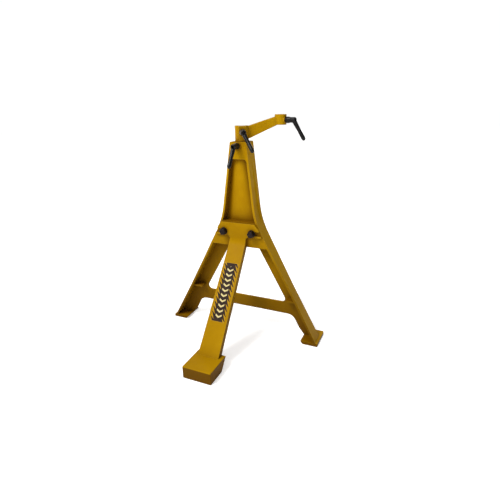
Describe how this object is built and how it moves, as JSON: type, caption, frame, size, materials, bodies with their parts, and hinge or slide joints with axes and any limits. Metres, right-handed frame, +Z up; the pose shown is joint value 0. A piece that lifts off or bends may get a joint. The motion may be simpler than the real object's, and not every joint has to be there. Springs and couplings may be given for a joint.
{
  "type": "tool rest floor stand",
  "caption": "Three-legged cast floor stand with a sliding height post, a swinging arm with a tool-rest socket, and ratchet clamp levers.",
  "frame": {"origin": "centre of the footprint's bounding box, on the floor", "axes": "+Z up, the front leg points to -Y, the two rear legs spread along X"},
  "size_m": [0.6846, 0.5277, 0.8944],
  "materials": {
    "casting_paint": "semi-gloss mustard yellow enamel over a sand casting",
    "black_diecast": "satin black powder coat",
    "black_oxide": "black oxide, lightly oiled",
    "ground_steel": "ground",
    "brass_tip": "turned",
    "label_film": "printed film with plain diagonal hatch, no lettering"
  },
  "bodies": {
    "stand": {"rear_frame": "casting_paint", "front_leg": "casting_paint", "leg_bolts": "black_oxide", "leg_flat_washers": "black_oxide", "leg_spring_washers": "black_oxide", "leg_nuts": "black_oxide", "leg_label": "label_film"},
    "height_post": {"post": "ground_steel"},
    "arm": {"swing_arm": "casting_paint"},
    "column_clamp": {"column_stud": "black_oxide", "column_tip": "brass_tip", "column_lever_screw": "black_oxide", "column_lever_spring": "ground_steel"},
    "column_handle": {"column_lever": "black_diecast"},
    "arm_clamp": {"arm_stud": "black_oxide", "arm_tip": "brass_tip", "arm_lever_screw": "black_oxide", "arm_lever_spring": "ground_steel"},
    "arm_handle": {"arm_lever": "black_diecast"},
    "socket_clamp": {"socket_stud": "black_oxide", "socket_lever_screw": "black_oxide", "socket_lever_spring": "ground_steel"},
    "socket_handle": {"socket_lever": "black_diecast"}
  },
  "joints": [
    {"name": "post_slide", "type": "slide", "parent": "stand", "child": "height_post", "axis": [0, 0, 1], "range_m": [0, 0.18]},
    {"name": "arm_swing", "type": "hinge", "parent": "height_post", "child": "arm", "pos_m": [0, 0.16675, 0.828], "axis": [0, 0, 1], "range_deg": [-8, 290]},
    {"name": "column_lever_turn", "type": "hinge", "parent": "stand", "child": "column_clamp", "pos_m": [0, 0.12675, 0.785], "axis": [0, -1, 0], "range_deg": [0, 360]},
    {"name": "column_lever_lift", "type": "slide", "parent": "column_clamp", "child": "column_handle", "axis": [0, -1, 0], "range_m": [0, 0.0045], "stiffness_N_per_m": 1500, "springref_m": -0.0027, "deforming": ["column_lever_spring"]},
    {"name": "arm_lever_turn", "type": "hinge", "parent": "arm", "child": "arm_clamp", "pos_m": [0.0175, 0.13644, 0.834], "axis": [0.5, -0.866, 0], "range_deg": [0, 360]},
    {"name": "arm_lever_lift", "type": "slide", "parent": "arm_clamp", "child": "arm_handle", "axis": [0.5, -0.866, 0], "range_m": [0, 0.0045], "stiffness_N_per_m": 1500, "springref_m": -0.0027, "deforming": ["arm_lever_spring"]},
    {"name": "socket_lever_turn", "type": "hinge", "parent": "arm", "child": "socket_clamp", "pos_m": [0.15164, 0.23753, 0.874], "axis": [0.9848, -0.1736, 0], "range_deg": [0, 360]},
    {"name": "socket_lever_lift", "type": "slide", "parent": "socket_clamp", "child": "socket_handle", "axis": [0.9848, -0.1736, 0], "range_m": [0, 0.0045], "stiffness_N_per_m": 1500, "springref_m": -0.0027, "deforming": ["socket_lever_spring"]}
  ]
}
